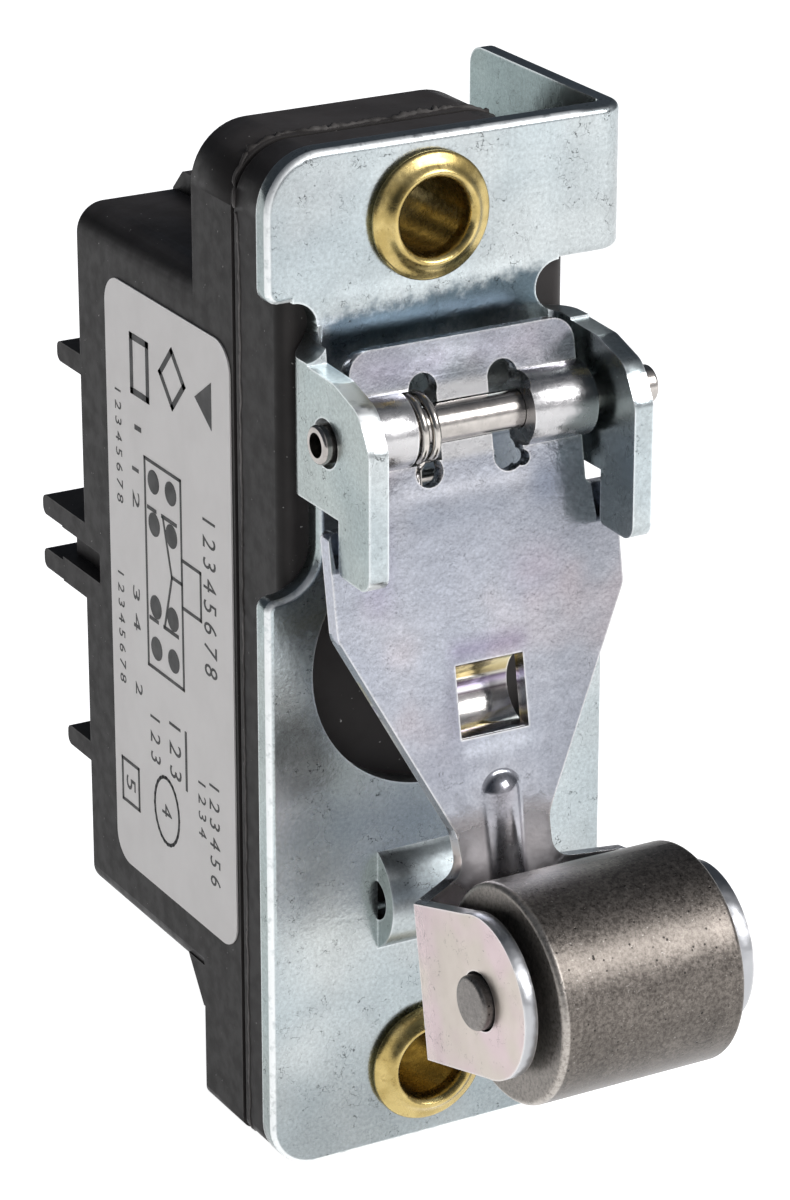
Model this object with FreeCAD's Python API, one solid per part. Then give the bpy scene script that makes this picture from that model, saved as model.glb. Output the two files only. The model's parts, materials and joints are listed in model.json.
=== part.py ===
import FreeCAD, Part
import math
import os

from FreeCAD import Vector

# Roller-lever limit switch, millimetres.
# Origin: midway between the two mounting eyelets, on the front face of the mounting plate.
# +X to the right, +Y towards the terminals at the back, +Z up.

# ---- driving dimensions ------------------------------------------------------------------
hole_spacing = 64.4            # between the two eyelet axes
body_x = 0.7                   # centre plane of the moulding and lever, right of the hole line
plunger_z = -0.15              # height of the plunger axis

plate_t = 1.5                  # mounting plate, stamped steel sheet
plate_left = -12.7
plate_right = 14.7
plate_top = 37.8
plate_bottom = -38.4
plate_corner_r = 3.6
plate_step_r = 0.8              # corners beside the neck
pad_left = -12.4
pad_corner_r = 4.2
pad_bottom = 27.4              # lower edge of the upper pad
side_flange_x = 16.1           # outer face of the flange bent back at the top right
side_flange_end_y = 19.6
bend_inner_r = 0.7
neck_left = -8.6
neck_low_right = 10.0
relief_r = 1.85                # round bend reliefs above the ears
relief_z = 25.55
relief_x = 10.45               # their centres, left and right of the eyelet line
lower_top = 6.1                # top edge of the lower plate, outside the neck
lower_fillet_r = 3.3           # concave corner where the lower plate meets the neck
lever_hole_r = 9.85            # large round hole behind the lever
roll_edge_r = 0.55             # stamped edges rolled over by the die

ear_half = 11.1                # outer faces of the hinge ears from the centre plane
ear_front_y = -10.5
ear_free_y = -6.2              # back edge of the free lower part of an ear
ear_root_top = 23.55
ear_root_bottom = 13.85
ear_bottom = 9.8
ear_hole_r = 1.75

strap_left = -4.0              # over-travel strap pushed out of the lower plate
strap_right = 5.4
strap_z = -18.45
strap_half = 3.8
strap_rise = 2.3
strap_hollow_r = 1.55          # round tunnel under the strap
strap_hollow_y = 0.3

pin_y = -4.4                   # hinge pin axis
pin_z = 18.8
pin_r = 1.38
pin_bore_r = 0.88
pin_bore_depth = 7.0
pin_left = -11.15
pin_right = 15.3
running_gap = 0.07

lever_tilt = 10.4              # degrees that the free lever leans out of the vertical
lever_t = 1.2
tab_half = 8.85                # half width of the lever between the ears
lever_half = 11.54             # half width below the ears, on the left
lever_half_right = 11.25
tab_top = 5.75                 # lever heights are measured from the hinge pin along the lever
shoulder_z = -6.15
taper_top_z = -13.6
taper_low_z = -28.9
taper_low_half = 3.75
neck_z = -30.4
lever_neck_half = 3.6
lever_foot_z = -44.6
window_top = -17.05
window_low = -22.35
window_half = 2.7
trough_t = 0.85                # sheet thinned by drawing
rib_top = -26.6
rib_low = -34.0
rib_half = 1.4
rib_rise = 0.75
rib_x = 0.8                    # its centre line
rib_blend_r = 0.6
left_slot = (-4.62, -1.6)      # dumb-bell slots that part the hinge knuckles
right_slot = (2.45, 4.5)
slot_half_z = 2.6
left_lobes = ((-2.62, 2.5, 1.1), (-2.66, -3.3, 1.08))
right_lobes = ((3.65, 2.4, 1.2), (3.65, -3.05, 1.2), (4.7, -3.5, 0.55))

fork_left = -6.8               # outer faces of the roller fork
fork_right = 11.5
fork_arc_y = -8.4
fork_arc_z = -37.9
fork_arc_r = 5.8
fork_top_z = -32.85
fork_t = 1.05
fork_hole_r = 2.12

roller_axis_y = -8.1           # in the lever's own frame
roller_axis_z = -38.25
roller_r = 7.8
roller_left = -4.75
roller_right = 9.75
roller_edge_r = 0.45
roller_pin_r = 1.95
roller_pin_left = -7.6
roller_pin_right = 12.3

eyelet_r = 4.57                # rolled front flange
eyelet_rim_y = -0.42
eyelet_foot_r = 4.15
eyelet_barrel_r = 3.1
eyelet_bore_r = 2.6
eyelet_crest_r = 3.2
eyelet_crest_y = -1.35
eyelet_back_r = 3.55
eyelet_recess_r = 3.75
eyelet_recess = 1.0

housing_half = 11.3
housing_top = 36.35
housing_bottom = -39.35
housing_top_r = 4.3
housing_bottom_r = 0.9
gasket_front_y = 8.2
gasket_t = 0.5
gasket_inset = 0.5             # leaves a dark groove all round
seat_y = 14.75                 # rear face of the housing flange, which lies on the panel
block_back_y = 34.1
block_top = 25.65
block_bottom = -29.4
block_top_r = 2.2
block_bottom_r = 1.6
web_half = 3.15                # stiffening web along the top of the block
web_top = 27.3
web_slope = 1.65
gusset_t = 2.2                 # lower corner gussets
cover_wall = 2.5
cover_bottom = -39.1
cover_edge_r = 1.1

fin_end_y = 37.8               # terminal barriers on the back
fin_t = 1.6
fin_zs = (13.2, -18.2)
lip_end_y = 41.2
lip_tops = (0.6, -3.8)
middle_top = 0.6
middle_bottom = -5.5
row_zs = (19.75, 6.5, -11.45, -24.1)
column_x = 5.6

plunger_r = 2.5
plunger_gap = 0.15             # between the trough of the free lever and the plunger
plunger_end_y = 13.0
dome_r = 5.0                   # rounded tip
collar_r = 4.2                 # keeps the plunger in, and seats the snap springs
collar_t = 1.5
seat_collar_y = 9.6
seal_r = 3.9
seal_t = 1.0

cavity_half = 9.3              # hollow of the moulding
cavity_top = 23.3
cavity_bottom = -26.9
cavity_back_y = 30.6

rocker_y = 17.5                # pivots of the two contact rockers
rocker_z = 4.4                 # above and below the plunger axis
rocker_pin_r = 0.8
rocker_pin_half = 10.4
rocker_hub_r = 1.75
rocker_half = 2.2
rocker_arm_t = 1.8
bridge_z = 13.2                # contact bridges, from the plunger axis
bridge_t = 0.7
bridge_half = 7.4
contact_r = 1.3
contact_t = 0.7
contact_gap = 0.05             # between closed contacts

leg_t = 1.0                    # terminal strips
leg_half = 2.0
leg_offsets = (17.4, 9.4, -9.4, -20.2)
back_plate_y = 20.98           # fixed contact strips of the inner rows

label_t = 0.12
label_front_y = 9.1
label_back_y = 29.0
label_top = 21.8
label_bottom = -25.0
label_r = 2.2

# ---- derived values ----------------------------------------------------------------------
base_front_y = gasket_front_y + gasket_t
hole_z = hole_spacing / 2.0
bend_outer_r = bend_inner_r + plate_t
cover_front_y = plate_t
side_x = body_x - housing_half
knuckle_inner_r = pin_r + running_gap
trough_r = (window_top - window_low) / 2.0 + trough_t
trough_z = (window_top + window_low) / 2.0
knuckle_outer_r = knuckle_inner_r + lever_t
leg_zs = [plunger_z + offset for offset in leg_offsets]
front_plate_y = rocker_y - bridge_t / 2.0 - 2 * contact_t - contact_gap - leg_t
cover_inner_y = cover_front_y + cover_wall
collar_y = cover_inner_y + 0.25
X_AXIS = Vector(1, 0, 0)
Y_AXIS = Vector(0, 1, 0)
Z_AXIS = Vector(0, 0, 1)


# ---- helpers -----------------------------------------------------------------------------
def box(x0, x1, y0, y1, z0, z1):
    return Part.makeBox(x1 - x0, y1 - y0, z1 - z0, Vector(x0, y0, z0))


def rod(x0, x1, y, z, r):
    """Cylinder along X."""
    return Part.makeCylinder(r, x1 - x0, Vector(x0, y, z), X_AXIS)


def post(x, z, y0, y1, r):
    """Cylinder along Y."""
    return Part.makeCylinder(r, y1 - y0, Vector(x, y0, z), Y_AXIS)


def fuse(shapes):
    joined = shapes[0].multiFuse(shapes[1:])
    return joined.removeSplitter()


def rounded_wire(corners, plane):
    """Closed outline with arcs at its corners: corners are (a, b, radius)."""
    points = [plane(a, b) for a, b, r in corners]
    edges = []
    ends = []
    count = len(points)
    for i in range(count):
        before = points[i - 1] - points[i]
        after = points[(i + 1) % count] - points[i]
        r = corners[i][2]
        if r <= 0:
            ends.append((points[i], points[i], None))
            continue
        half = before.getAngle(after) / 2.0
        reach = r / math.tan(half)
        start = points[i] + before.normalize() * reach
        end = points[i] + after.normalize() * reach
        inward = (before + after).normalize()
        middle = points[i] + inward * (r / math.sin(half) - r)
        ends.append((start, end, middle))
    for i in range(count):
        start, end, middle = ends[i]
        if middle is not None:
            edges.append(Part.Arc(start, middle, end).toShape())
        following = ends[(i + 1) % count][0]
        if (following - end).Length > 1e-6:
            edges.append(Part.LineSegment(end, following).toShape())
    return Part.Wire(edges)


def on_front(y):
    return lambda a, b: Vector(a, y, b)


def on_side(x):
    return lambda a, b: Vector(x, a, b)


def slab_y(corners, y0, y1):
    """Outline in X and Z, extruded from y0 to y1."""
    face = Part.Face(rounded_wire(corners, on_front(y0)))
    return face.extrude(Vector(0, y1 - y0, 0))


def slab_x(corners, x0, x1):
    """Outline in Y and Z, extruded from x0 to x1."""
    face = Part.Face(rounded_wire(corners, on_side(x0)))
    return face.extrude(Vector(x1 - x0, 0, 0))


def rounded_rect(x0, x1, z0, z1, r_top, r_bottom):
    return [(x0, z0, r_bottom), (x1, z0, r_bottom), (x1, z1, r_top), (x0, z1, r_top)]


def fillet_edges_at_y(solid, y, r):
    """Rounds every edge that lies wholly in the plane at this depth."""
    picked = []
    for edge in solid.Edges:
        if all(abs(vertex.Y - y) < 1e-6 for vertex in edge.Vertexes) and abs(edge.CenterOfMass.y - y) < 1e-6:
            picked.append(edge)
    return solid.makeFillet(r, picked)


def coil(radius, pitch, turns, wire_r, start, axis):
    """Round-wire helix around an axis through start."""
    helix = Part.makeHelix(pitch, pitch * turns, radius)
    tangent = Vector(0, radius, pitch / (2 * math.pi)).normalize()
    ring = Part.Wire([Part.Circle(Vector(radius, 0, 0), tangent, wire_r).toShape()])
    solid = Part.Wire(helix).makePipeShell([ring], True, True)
    turn = FreeCAD.Rotation(Z_AXIS, axis)
    solid.Placement = FreeCAD.Placement(start, turn)
    return solid


def wire_run(points, wire_r):
    """Round wire along straight runs, with ball corners."""
    pieces = []
    for a, b in zip(points, points[1:]):
        pieces.append(Part.makeCylinder(wire_r, (b - a).Length, a, b - a))
        pieces.append(Part.makeSphere(wire_r, b))
    return pieces


# ---- mounting plate ----------------------------------------------------------------------
def bent_strip(bend_x, side, front_y, reach_x, end_y, z, height):
    """Sheet bent through a right angle: flat from reach_x to bend_x, then along Y to end_y.

    The outer skin starts at front_y; side is 1 when the bent leg is on the right.
    """
    back = 1 if end_y > front_y else -1
    slant = math.sin(math.pi / 4)
    outer_x = bend_x + side * bend_outer_r
    inner_x = bend_x + side * bend_inner_r
    centre_y = front_y + back * bend_outer_r
    skin_y = front_y + back * plate_t

    def at(x, y):
        return Vector(x, y, z)

    def bend(r):
        return at(bend_x + side * r * slant, centre_y - back * r * slant)

    profile = Part.Wire([
        Part.LineSegment(at(reach_x, front_y), at(bend_x, front_y)).toShape(),
        Part.Arc(at(bend_x, front_y), bend(bend_outer_r), at(outer_x, centre_y)).toShape(),
        Part.LineSegment(at(outer_x, centre_y), at(outer_x, end_y)).toShape(),
        Part.LineSegment(at(outer_x, end_y), at(inner_x, end_y)).toShape(),
        Part.LineSegment(at(inner_x, end_y), at(inner_x, centre_y)).toShape(),
        Part.Arc(at(inner_x, centre_y), bend(bend_inner_r), at(bend_x, skin_y)).toShape(),
        Part.LineSegment(at(bend_x, skin_y), at(reach_x, skin_y)).toShape(),
        Part.LineSegment(at(reach_x, skin_y), at(reach_x, front_y)).toShape()])
    return Part.Face(profile).extrude(Vector(0, 0, height))


def plate_upper_pad():
    bend_x = side_flange_x - bend_outer_r
    flat = slab_y([(pad_left, pad_bottom, 1.0), (neck_left - 1.0, pad_bottom, 0),
                   (bend_x, pad_bottom, 0), (bend_x, plate_top, 0),
                   (pad_left, plate_top, pad_corner_r)], 0, plate_t)
    flange = bent_strip(bend_x, 1, 0, bend_x - 1, side_flange_end_y, pad_bottom, plate_top - pad_bottom)
    trim = slab_x([(-1, pad_bottom, 0), (side_flange_end_y, pad_bottom, 1.6),
                   (side_flange_end_y, plate_top, 1.6), (-1, plate_top, 0)],
                  bend_x - 2, side_flange_x + 1)
    pad = fuse([flat, flange.common(trim)])
    return pad.makeFillet(roll_edge_r, [edge for edge in pad.Edges if on_outer_rim(edge, bend_x)])


def on_outer_rim(edge, bend_x):
    """True for the rim of the pad's outer skin, followed round the bend of the side flange."""
    def on_skin(point):
        if point.x <= bend_x:
            return abs(point.y) < 1e-6
        if point.y >= bend_outer_r:
            return abs(point.x - side_flange_x) < 1e-6
        return abs(math.hypot(point.x - bend_x, point.y - bend_outer_r) - bend_outer_r) < 1e-6

    points = edge.discretize(5)
    upright = abs(points[0].x - points[-1].x) < 1e-6 and abs(points[0].y - points[-1].y) < 1e-6
    at_bend = upright and (abs(points[0].x - bend_x) < 1e-6 or abs(points[0].y - bend_outer_r) < 1e-6)
    return all(on_skin(point) for point in points) and not at_bend


def plate_neck_and_lower():
    join_z = ear_root_bottom + 2
    outline = [(plate_left, plate_bottom, plate_corner_r), (plate_right, plate_bottom, plate_corner_r),
               (plate_right, lower_top, plate_step_r),
               (neck_low_right, lower_top, lower_fillet_r),
               (neck_low_right, join_z, 0), (neck_left, join_z, 0),
               (neck_left, lower_top, lower_fillet_r), (plate_left, lower_top, plate_step_r)]
    flat = slab_y(outline, 0, plate_t)
    flat = fillet_edges_at_y(flat, 0, roll_edge_r)
    neck = slab_y([(neck_left, join_z - 0.5, 0), (neck_low_right, join_z - 0.5, 0),
                   (neck_low_right, ear_root_top, 0), (relief_x, relief_z, 0),
                   (relief_x, pad_bottom + 1, 0), (-relief_x, pad_bottom + 1, 0),
                   (-relief_x, relief_z, 0), (neck_left, relief_z, 0)], 0, plate_t)
    return fuse([flat, neck])


def ear(side):
    """One hinge ear, bent forward out of the plate: side is -1 on the left, 1 on the right."""
    outer = body_x + side * ear_half
    inner = outer - side * plate_t
    bend_x = outer - side * bend_outer_r
    joint_x = bend_x - side * 2.0
    z = ear_root_bottom
    blank = bent_strip(bend_x, side, plate_t, joint_x, ear_front_y, z, relief_z - z)
    tail = box(min(outer, inner), max(outer, inner), ear_front_y, ear_free_y, ear_bottom - 1, z)
    trim = slab_x([(ear_front_y, ear_bottom, 1.2), (ear_free_y, ear_bottom + 0.1, 0.5),
                   (ear_free_y, ear_root_bottom, 0), (plate_t, ear_root_bottom, 0),
                   (plate_t, relief_z, 0), (-1.6, relief_z, 0),
                   (-1.9, ear_root_top, 0), (-5.6, ear_root_top - 0.15, 1.5),
                   (-9.0, ear_root_top - 1.2, 2.0), (ear_front_y, ear_root_top - 3.8, 1.5)],
                  min(outer, joint_x) - 1, max(outer, joint_x) + 1)
    return fuse([blank, tail]).common(trim)


def overtravel_strap():
    radius = (strap_half ** 2 + strap_rise ** 2) / (2 * strap_rise)
    centre_y = radius - strap_rise
    ring = rod(strap_left, strap_right, centre_y, strap_z, radius)
    ring = ring.cut(rod(strap_left - 1, strap_right + 1, strap_hollow_y, strap_z, strap_hollow_r))
    keep = box(strap_left, strap_right, -5, plate_t, strap_z - 8, strap_z + 8)
    return ring.common(keep)


def mounting_plate():
    lower = plate_neck_and_lower()
    lower = lower.cut(box(strap_left, strap_right, -1, plate_t + 1,
                          strap_z - strap_half, strap_z + strap_half))
    body = fuse([plate_upper_pad(), lower, ear(-1), ear(1), overtravel_strap()])
    for side in (-1, 1):
        centre = side * relief_x
        far = centre + side * 8
        body = body.cut(post(centre, relief_z, -1.9, plate_t + 1, relief_r))
        body = body.cut(box(min(centre, far), max(centre, far), -1.9, plate_t + 1,
                            relief_z - relief_r, relief_z + relief_r))
    body = body.cut(post(body_x, plunger_z, -1, plate_t + 1, lever_hole_r))
    for z in (hole_z, -hole_z):
        body = body.cut(post(0, z, -1, plate_t + 1, eyelet_barrel_r))
    body = body.cut(rod(body_x - ear_half - 1, body_x, pin_y, pin_z, ear_hole_r))
    body = body.cut(rod(body_x, body_x + ear_half + 1, pin_y, pin_z, pin_r + running_gap))
    return body


# ---- lever, built upright about the hinge pin and then leaned out -------------------------
def lean_out(shape):
    shape.translate(Vector(0, pin_y, pin_z))
    shape.rotate(Vector(0, pin_y, pin_z), X_AXIS, -lever_tilt)
    return shape


def lever_point(y, z):
    """Place in the part's frame of a point in the upright lever's frame."""
    lean = math.radians(lever_tilt)
    return (pin_y + y * math.cos(lean) + z * math.sin(lean),
            pin_z - y * math.sin(lean) + z * math.cos(lean))


def lever_blank():
    x = body_x
    neck = x + 0.2
    corners = [(x - tab_half, tab_top, 1.7), (x + tab_half, tab_top, 1.7),
               (x + tab_half, shoulder_z, 0.5), (x + lever_half_right, shoulder_z, 0.6),
               (x + lever_half_right, taper_top_z, 1.5), (x + taper_low_half, taper_low_z, 2.0),
               (neck + lever_neck_half, neck_z - 1.75, 1.6), (fork_right - 1.0, neck_z - 2.35, 0),
               (fork_right - 1.0, lever_foot_z, 0), (fork_left + 1.0, lever_foot_z, 0),
               (fork_left + 1.0, neck_z - 2.8, 0), (neck - lever_neck_half, neck_z - 1.35, 1.6),
               (x - taper_low_half, taper_low_z, 2.0), (x - lever_half, taper_top_z, 1.5),
               (x - lever_half, shoulder_z, 0.6), (x - tab_half, shoulder_z, 0.5)]
    return slab_y(corners, 0, lever_t)


def fork_ear(outer, side):
    inner = outer - side * fork_t
    x0 = min(outer, inner)
    x1 = max(outer, inner)
    top_y = fork_arc_y
    straight = slab_x([(lever_t, fork_top_z - 0.4, 0), (top_y, fork_arc_z + fork_arc_r, 0),
                       (top_y, fork_arc_z - fork_arc_r, 0), (lever_t, lever_foot_z, 0)], x0, x1)
    nose = rod(x0, x1, fork_arc_y, fork_arc_z, fork_arc_r)
    blank = fuse([straight, nose])
    corner = box(min(outer, outer - side * lever_t), max(outer, outer - side * lever_t),
                 lever_t - 1.0, lever_t + 1, lever_foot_z - 1, fork_top_z + 1)
    rounder = Part.makeCylinder(lever_t + 0.4, 20, Vector(outer - side * (lever_t + 0.4), -0.4,
                                                          lever_foot_z - 2), Z_AXIS)
    edge = corner.cut(rounder)
    blank = blank.cut(edge)
    return blank.cut(rod(x0 - 1, x1 + 1, roller_axis_y, roller_axis_z, fork_hole_r))


def knuckle(x0, x1, front):
    """Half ring over the pin: in front of it, or behind it for the middle strip."""
    ring = rod(x0, x1, 0, 0, knuckle_outer_r).cut(rod(x0 - 1, x1 + 1, 0, 0, knuckle_inner_r))
    if front:
        return ring.common(box(x0, x1, -4, 0, -4, 4))
    return ring.common(box(x0, x1, 0, 4, -4, 4))


def slot_cutter(span, lobes):
    pieces = [box(span[0], span[1], -4, 4, -slot_half_z, slot_half_z)]
    for x, z, r in lobes:
        pieces.append(post(x, z, -4, 4, r))
    return fuse(pieces)


def window_trough():
    ring = rod(body_x - window_half, body_x + window_half, 0, trough_z, trough_r)
    ring = ring.cut(rod(body_x - 5, body_x + 5, 0, trough_z, trough_r - trough_t))
    return ring.common(box(body_x - 5, body_x + 5, 0.3, 6, window_low - 2, window_top + 2))


def stiffening_rib():
    radius = (rib_half ** 2 + rib_rise ** 2) / (2 * rib_rise)
    depth = radius - rib_rise
    bar = Part.makeCylinder(radius, rib_top - rib_low, Vector(rib_x, depth, rib_low), Z_AXIS)
    caps = [Part.makeSphere(radius, Vector(rib_x, depth, z)) for z in (rib_top, rib_low)]
    return fuse([bar] + caps).common(box(body_x - 4, body_x + 4, -3, 0.2, rib_low - 3, rib_top + 3))


def at_rib_foot(edge):
    """True for the line where the stiffening rib rises out of the lever's front face."""
    bounds = edge.BoundBox
    flat = abs(bounds.YMin) < 1e-6 and abs(bounds.YMax) < 1e-6
    beside = abs(bounds.Center.x - rib_x) <= rib_half + 0.1
    return flat and beside and rib_low - 2 * rib_half < bounds.ZMin and bounds.ZMax < rib_top + 2 * rib_half


def lever():
    blank = lever_blank()
    x = body_x
    blank = blank.cut(box(x - tab_half - 1, x + tab_half + 1, -1, 3,
                          -knuckle_inner_r, knuckle_inner_r))
    left = left_slot[1] - 0.5
    right = right_slot[0] + 0.5
    pieces = [blank, knuckle(x - tab_half, left, True), knuckle(right, x + tab_half, True),
              knuckle(left, right, False), fork_ear(fork_left, -1), fork_ear(fork_right, 1)]
    body = fuse(pieces)
    body = body.cut(rod(left, right, 0, 0, knuckle_inner_r))
    body = body.cut(slot_cutter(left_slot, left_lobes))
    body = body.cut(slot_cutter(right_slot, right_lobes))
    body = body.cut(box(x - window_half, x + window_half, -2, 3, window_low, window_top))
    body = fuse([body, window_trough(), stiffening_rib()])
    foot = [edge for edge in body.Edges if at_rib_foot(edge)]
    return lean_out(body.makeFillet(rib_blend_r, foot))


# ---- hinge pin, roller and its pin --------------------------------------------------------
def pivot_pin():
    body = rod(pin_left, pin_right, pin_y, pin_z, pin_r)
    ends = [edge for edge in body.Edges if edge.Curve.TypeId == "Part::GeomCircle"]
    body = body.makeFillet(0.25, ends)
    return body.cut(rod(pin_left - 1, pin_left + pin_bore_depth, pin_y, pin_z, pin_bore_r))


def roller():
    body = rod(roller_left, roller_right, roller_axis_y, roller_axis_z, roller_r)
    ends = [edge for edge in body.Edges if edge.Curve.TypeId == "Part::GeomCircle"]
    body = body.makeFillet(roller_edge_r, ends)
    bore = rod(roller_left - 1, roller_right + 1, roller_axis_y, roller_axis_z,
               roller_pin_r + running_gap)
    return lean_out(body.cut(bore))


def roller_pin():
    body = rod(roller_pin_left, roller_pin_right, roller_axis_y, roller_axis_z, roller_pin_r)
    ends = [edge for edge in body.Edges if edge.Curve.TypeId == "Part::GeomCircle"]
    return lean_out(body.makeFillet(0.35, ends))


def lever_return_spring():
    """Torsion spring: a coil in the left slot, a foot on the plate and a leg behind the lever."""
    wire_r = 0.33
    radius = 2.25
    pitch = 0.9
    turns = 1.75
    first_x = -4.4
    last_x = first_x + pitch * turns
    winding = coil(radius, pitch, turns, wire_r, Vector(first_x, pin_y, pin_z), X_AXIS)
    winding.rotate(Vector(0, pin_y, pin_z), X_AXIS, 90)
    foot_y = -wire_r - 0.05
    foot = wire_run([Vector(first_x, pin_y + radius, pin_z), Vector(first_x, foot_y, pin_z - 3.0),
                     Vector(first_x, foot_y, pin_z - 5.5), Vector(body_x, foot_y, pin_z - 5.5)], wire_r)
    behind = lever_t + wire_r + 0.05
    leg_top = lever_point(behind, -3.4)
    leg_end = lever_point(behind, -9.0)
    leg = wire_run([Vector(last_x, pin_y, pin_z - radius), Vector(last_x, leg_top[0], leg_top[1]),
                    Vector(last_x, leg_end[0], leg_end[1])], wire_r)
    return winding.multiFuse(foot + leg)


# ---- eyelets --------------------------------------------------------------------------------
def eyelet(z):
    """Brass eyelet: rim curled clear of the plate, a crest round the bore and a rolled back end."""
    back = seat_y
    front = [(eyelet_foot_r, 0.0), (eyelet_r - 0.08, eyelet_rim_y + 0.18), (eyelet_r, eyelet_rim_y),
             (eyelet_r - 0.1, eyelet_rim_y - 0.18), (4.15, -0.76), (3.75, -0.95),
             (eyelet_crest_r + 0.25, -1.22), (eyelet_crest_r, eyelet_crest_y),
             (eyelet_crest_r - 0.28, -1.2), (eyelet_bore_r + 0.08, -0.72), (eyelet_bore_r, -0.1)]
    curve = Part.BSplineCurve()
    curve.interpolate([Vector(r, y, z) for r, y in front])
    rest = [(eyelet_bore_r, -0.1), (eyelet_bore_r, back - eyelet_recess), (eyelet_bore_r + 0.1, back - 0.45),
            (eyelet_barrel_r - 0.1, back - 0.25), (eyelet_back_r, back - 0.6),
            (eyelet_back_r, back - eyelet_recess), (eyelet_barrel_r, back - eyelet_recess),
            (eyelet_barrel_r, 0.0), (eyelet_foot_r, 0.0)]
    edges = [curve.toShape(), Part.makePolygon([Vector(r, y, z) for r, y in rest])]
    return Part.Face(Part.Wire(edges)).revolve(Vector(0, 0, z), Y_AXIS, 360)


# ---- housing, gasket and cover ----------------------------------------------------------------
def flange_outline(bottom, inset):
    return rounded_rect(side_x + inset, body_x + housing_half - inset, bottom + inset,
                        housing_top - inset, housing_top_r, housing_bottom_r)


def terminal_slots():
    """Openings in the back wall for the terminal legs."""
    cutters = []
    for leg_z in leg_zs:
        for side in (-1, 1):
            x = body_x + side * column_x
            cutters.append(box(x - leg_half, x + leg_half, cavity_back_y - 1, block_back_y + 1,
                               leg_z - leg_t / 2.0, leg_z + leg_t / 2.0))
    return cutters


def screw_wells():
    """Blind holes behind the terminal pads, for the ends of the screws."""
    cutters = []
    for z in row_zs:
        for side in (-1, 1):
            cutters.append(post(body_x + side * column_x, z, cavity_back_y + 0.8, block_back_y + 1, 1.75))
    return cutters


def barrier(y0, y1, top):
    """Wall across the back that parts two rows of terminals, with its free edges rounded."""
    return slab_x([(y0, top - fin_t, 0), (y1, top - fin_t, 0.6), (y1, top, 0.6), (y0, top, 0)],
                  side_x, body_x + housing_half)


def base_housing():
    left = side_x
    right = body_x + housing_half
    flange = slab_y(flange_outline(housing_bottom, 0), base_front_y, seat_y)
    block = slab_y(rounded_rect(left, right, block_bottom, block_top, block_top_r, block_bottom_r),
                   seat_y - 1, block_back_y)
    block = fillet_edges_at_y(block, block_back_y, 0.5)
    pieces = [flange, block]
    for fin_z in fin_zs:
        pieces.append(barrier(block_back_y - 1, fin_end_y, fin_z + fin_t / 2.0))
    pieces.append(box(left, right, block_back_y - 1, fin_end_y, middle_bottom, middle_top))
    for lip_top in lip_tops:
        pieces.append(barrier(fin_end_y - 1, lip_end_y, lip_top))
    pieces.append(box(body_x - fin_t / 2.0, body_x + fin_t / 2.0, block_back_y - 1, fin_end_y,
                      block_bottom + 2, block_top - 3.2))
    pieces.append(slab_x([(seat_y - 1, block_top - 1, 0), (block_back_y, block_top - 1, 0),
                          (block_back_y, block_top, 0), (block_back_y - web_slope, web_top, 0.3),
                          (seat_y - 1, web_top, 0)], body_x - web_half, body_x + web_half))
    for x0 in (left, right - gusset_t):
        pieces.append(slab_x([(seat_y - 1, block_bottom - 2.4, 0), (seat_y + 0.2, block_bottom - 2.4, 0),
                              (seat_y + 2.6, block_bottom + 1, 0), (seat_y - 1, block_bottom + 1, 0)],
                             x0, x0 + gusset_t))
    body = fuse(pieces)
    corner = slab_y(flange_outline(housing_bottom, 0), base_front_y - 1, block_back_y + 10)
    body = body.common(corner)
    body = body.cut(box(body_x - cavity_half, body_x + cavity_half, base_front_y - 1, cavity_back_y,
                        cavity_bottom, cavity_top))
    slot_low = lip_tops[1] + 0.3
    slot_high = lip_tops[0] - fin_t - 0.1
    for x0 in (left - 1, right - 1.2):
        body = body.cut(box(x0, x0 + 2.2, 31.2, fin_end_y + 1, slot_low, slot_high))
    for cutter in terminal_slots() + screw_wells():
        body = body.cut(cutter)
    for z in (hole_z, -hole_z):
        body = body.cut(post(0, z, base_front_y - 1, seat_y + 1, eyelet_barrel_r))
        body = body.cut(post(0, z, seat_y - eyelet_recess, seat_y + 1, eyelet_recess_r))
    for sign in (1, -1):
        body = body.cut(rocker_pin(sign))
    return body


def cover_gasket():
    ring = slab_y(flange_outline(cover_bottom, gasket_inset), gasket_front_y, base_front_y)
    ring = ring.cut(box(body_x - cavity_half, body_x + cavity_half, gasket_front_y - 1, base_front_y + 1,
                        cavity_bottom, cavity_top))
    for z in (hole_z, -hole_z):
        ring = ring.cut(post(0, z, gasket_front_y - 1, base_front_y + 1, eyelet_barrel_r))
    return ring


def front_cover():
    body = slab_y(flange_outline(cover_bottom, 0), cover_front_y, gasket_front_y)
    body = fillet_edges_at_y(body, cover_front_y, cover_edge_r)
    body = body.cut(box(body_x - cavity_half, body_x + cavity_half, cover_front_y + cover_wall,
                        gasket_front_y + 1, cavity_bottom, cavity_top))
    body = body.cut(post(body_x, plunger_z, 0, gasket_front_y + 1, plunger_r + running_gap))
    body = body.cut(post(body_x, plunger_z, cover_inner_y - seal_t, cover_inner_y + 1, seal_r))
    for z in (hole_z, -hole_z):
        body = body.cut(post(0, z, 0, gasket_front_y + 1, eyelet_barrel_r))
    return body


def plunger_seal():
    ring = post(body_x, plunger_z, cover_inner_y - seal_t, cover_inner_y, seal_r)
    return ring.cut(post(body_x, plunger_z, 0, cover_inner_y + 1, plunger_r + running_gap))


def side_label():
    outline = [(label_front_y, label_bottom, label_r), (label_back_y, label_bottom, label_r),
               (label_back_y, label_top, label_r), (label_front_y, label_top, label_r)]
    return slab_x(outline, side_x - label_t, side_x)


def trough_back_y():
    y, z = lever_point(0, trough_z)
    return y + trough_r


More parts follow.
